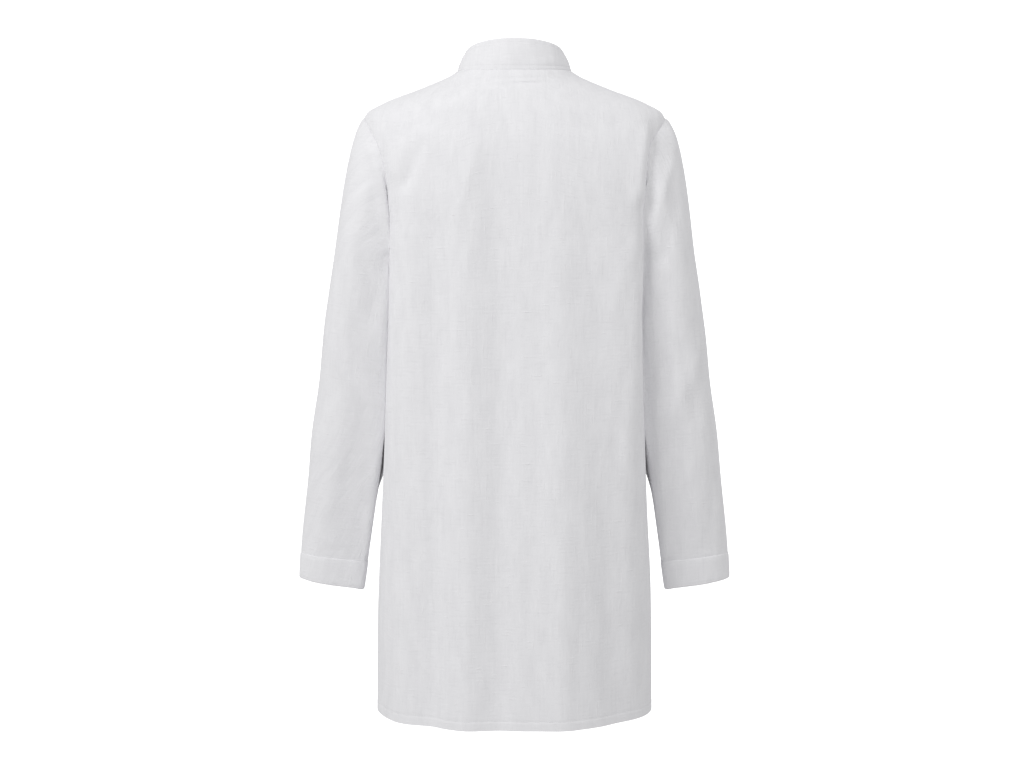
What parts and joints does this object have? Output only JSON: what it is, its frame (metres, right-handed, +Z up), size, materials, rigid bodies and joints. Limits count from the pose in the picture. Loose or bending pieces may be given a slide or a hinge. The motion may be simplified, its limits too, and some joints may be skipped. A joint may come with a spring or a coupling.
{
  "type": "long-sleeved linen tunic shirt",
  "caption": "Filled-out long white linen tunic shirt with a stand collar, long set-in sleeves with plain cuffs, a buttoned front band and soft unpressed folds down the body.",
  "frame": {"origin": "middle of the neck opening, level with the side neck points where the shoulder seams meet the collar", "axes": "+Z up, the front of the shirt faces -Y and the back faces +Y, the wearer's left is +X"},
  "size_m": [0.5934, 0.2561, 0.9066],
  "materials": {
    "linen_body": "matte plain-weave linen with slubs",
    "linen_sleeve": "matte plain-weave linen with slubs",
    "linen_band": "matte double linen, top-stitched at the edges",
    "button": "satin pearl"
  },
  "bodies": {
    "root": {"back": "linen_body", "front_left": "linen_body", "front_right": "linen_body", "placket": "linen_band", "collar": "linen_band", "sleeve_left": "linen_sleeve", "sleeve_right": "linen_sleeve", "cuff_left": "linen_band", "cuff_right": "linen_band", "button_collar": "button", "button_1": "button", "button_2": "button", "button_3": "button", "button_4": "button", "button_5": "button", "button_6": "button", "button_7": "button", "button_8": "button"}
  },
  "joints": []
}
